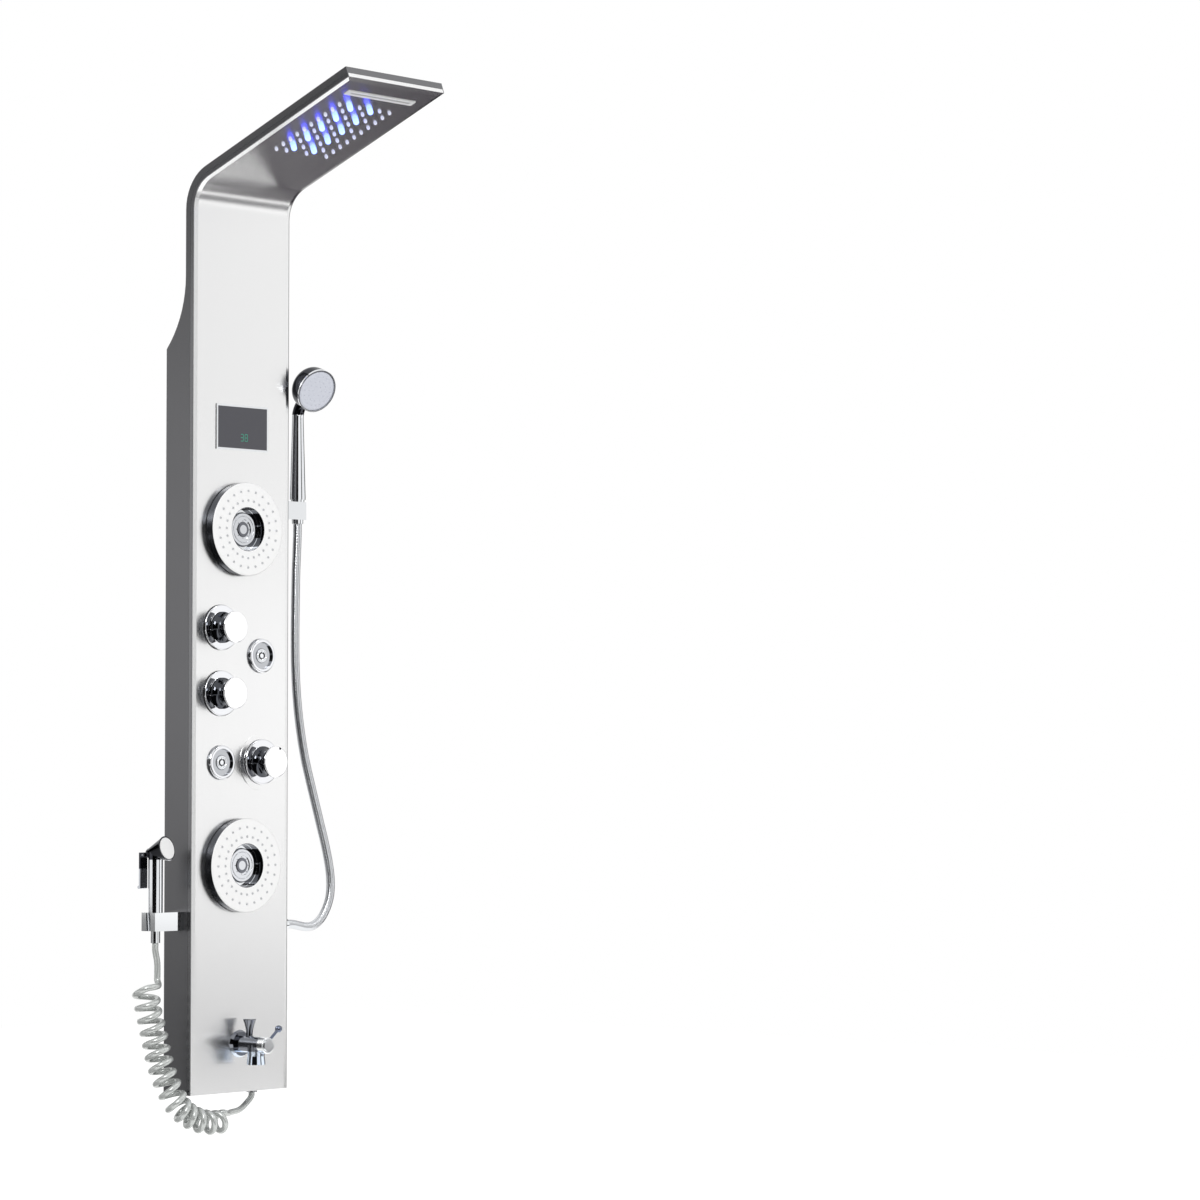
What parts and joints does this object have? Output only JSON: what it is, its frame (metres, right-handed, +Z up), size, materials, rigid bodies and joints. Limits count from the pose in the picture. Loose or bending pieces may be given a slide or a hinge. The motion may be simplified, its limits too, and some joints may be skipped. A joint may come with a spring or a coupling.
{
  "type": "shower panel column",
  "caption": "Wall-hung steel shower column with a swept-forward rain head, waterfall mouth, round body jets, display, knobs, hand shower, bidet sprayer on a coiled hose and a tub spout.",
  "frame": {"origin": "on the wall plane, at the middle of the four wall screws", "axes": "+Z up, -Y out of the wall towards the person, +X to the right for someone who faces the panel"},
  "size_m": [0.4064, 0.4013, 1.5915],
  "materials": {
    "brushed_stainless": "brushed along the column, satin",
    "grey_steel": "satin grey",
    "zinc_steel": "zinc plated, dull",
    "chrome": "polished",
    "white_trim": "satin white",
    "grey_silicone": "matte",
    "white_silicone": "matte",
    "brass": "cast and turned",
    "black_glass": "polished",
    "black_plastic": "matte",
    "pale_plastic": "smooth moulded",
    "lamp_lens": "clear tinted",
    "board_green": "lacquered board",
    "steel_pipe": "plain drawn tube",
    "hose_metal": "wound, polished",
    "hose_grey": "smooth moulded, silvered"
  },
  "bodies": {
    "panel": {"fascia": "brushed_stainless", "rear_casing": "grey_steel", "bottom_plate": "grey_steel", "wall_brackets": "zinc_steel", "hanging_rails": "zinc_steel", "display_bezel": "chrome", "display_glass": "black_glass", "display_module": "black_plastic", "upper_jet_disc": "white_trim", "upper_jet_nozzles": "grey_silicone", "lower_jet_disc": "white_trim", "lower_jet_nozzles": "grey_silicone", "upper_side_jet": "chrome", "lower_side_jet": "chrome", "jet_lock_nuts": "brass", "knob_flanges": "chrome", "upper_diverter_valve": "brass", "lower_diverter_valve": "brass", "mixer_escutcheon": "brushed_stainless", "mixer_valve": "brass", "rain_nozzles": "white_silicone", "led_lenses": "lamp_lens", "led_board": "board_green", "rain_chamber": "pale_plastic", "waterfall_spout": "white_trim", "generator_housing": "black_plastic", "rain_riser": "steel_pipe", "body_riser": "steel_pipe", "branch_pipes": "steel_pipe", "handset_holder": "chrome", "shower_hose": "hose_metal", "shower_hose_nut": "chrome", "shower_outlet": "chrome", "sprayer_holder": "chrome", "coil_hose": "hose_grey", "coil_outlet": "chrome", "spout_body": "chrome", "spout_aerator": "chrome"},
    "upper_diverter": {"upper_diverter_knob": "chrome", "upper_diverter_spindle": "brass"},
    "lower_diverter": {"lower_diverter_knob": "chrome", "lower_diverter_spindle": "brass"},
    "mixer": {"mixer_knob": "chrome", "mixer_spindle": "brass"},
    "upper_jet_nozzle": {"upper_jet_ball": "chrome"},
    "lower_jet_nozzle": {"lower_jet_ball": "chrome"},
    "upper_side_nozzle": {"upper_side_ball": "chrome"},
    "lower_side_nozzle": {"lower_side_ball": "chrome"},
    "handset_nut": {"handset_cone": "chrome"},
    "handset": {"handset_shell": "chrome", "handset_face": "pale_plastic"},
    "handset_selector": {"handset_ring": "chrome"},
    "sprayer": {"sprayer_body": "chrome", "sprayer_face": "white_trim", "sprayer_pin": "zinc_steel", "sprayer_nut": "chrome"},
    "trigger": {"sprayer_trigger": "chrome"},
    "spout_pull": {"spout_diverter": "chrome"},
    "spout_handle": {"spout_lever": "chrome"},
    "turbine": {"generator_rotor": "white_trim"}
  },
  "joints": [
    {"name": "upper_diverter_turn", "type": "hinge", "parent": "panel", "child": "upper_diverter", "pos_m": [-0.042, -0.062, 0.092], "axis": [0, -1, 0], "range_deg": [-135, 135]},
    {"name": "lower_diverter_turn", "type": "hinge", "parent": "panel", "child": "lower_diverter", "pos_m": [-0.042, -0.062, -0.009], "axis": [0, -1, 0], "range_deg": [-135, 135]},
    {"name": "mixer_turn", "type": "hinge", "parent": "panel", "child": "mixer", "pos_m": [0.042, -0.062, -0.114], "axis": [0, -1, 0], "range_deg": [-60, 60]},
    {"name": "upper_jet_tilt", "type": "hinge", "parent": "panel", "child": "upper_jet_nozzle", "pos_m": [0, -0.052, 0.244], "axis": [1, 0, 0], "range_deg": [-12, 12]},
    {"name": "lower_jet_tilt", "type": "hinge", "parent": "panel", "child": "lower_jet_nozzle", "pos_m": [0, -0.052, -0.273], "axis": [1, 0, 0], "range_deg": [-12, 12]},
    {"name": "upper_side_tilt", "type": "hinge", "parent": "panel", "child": "upper_side_nozzle", "pos_m": [0.041, -0.0585, 0.05], "axis": [1, 0, 0], "range_deg": [-12, 12]},
    {"name": "lower_side_tilt", "type": "hinge", "parent": "panel", "child": "lower_side_nozzle", "pos_m": [-0.041, -0.0585, -0.115], "axis": [1, 0, 0], "range_deg": [-12, 12]},
    {"name": "handset_lift", "type": "slide", "parent": "panel", "child": "handset_nut", "axis": [0, 0, 1], "range_m": [0, 0.06], "deforming": ["shower_hose"]},
    {"name": "handset_turn", "type": "hinge", "parent": "handset_nut", "child": "handset", "pos_m": [0.143, -0.0345, 0.28], "axis": [0, 0, 1], "range_deg": [-4, 90]},
    {"name": "selector_turn", "type": "hinge", "parent": "handset", "child": "handset_selector", "pos_m": [0.13788, -0.08323, 0.4665], "axis": [-0.0951, -0.905, -0.4147], "range_deg": [-60, 60]},
    {"name": "sprayer_lift", "type": "slide", "parent": "panel", "child": "sprayer", "axis": [0, 0, 1], "range_m": [0, 0.06], "deforming": ["coil_hose"]},
    {"name": "trigger_squeeze", "type": "hinge", "parent": "sprayer", "child": "trigger", "pos_m": [-0.14763, -0.012, -0.255], "axis": [-0.9781, -0.2079, 0], "range_deg": [0, 9], "stiffness_Nm_per_rad": 0.3, "springref_deg": -8.59},
    {"name": "spout_pull_up", "type": "slide", "parent": "panel", "child": "spout_pull", "axis": [0, 0, 1], "range_m": [0, 0.01]},
    {"name": "spout_handle_turn", "type": "hinge", "parent": "panel", "child": "spout_handle", "pos_m": [0, -0.12, -0.546], "axis": [0, 1, 0], "range_deg": [-49, 41]},
    {"name": "turbine_spin", "type": "hinge", "parent": "panel", "child": "turbine", "pos_m": [-0.042, -0.03, 0.335], "axis": [0, 0, 1], "continuous": true}
  ]
}
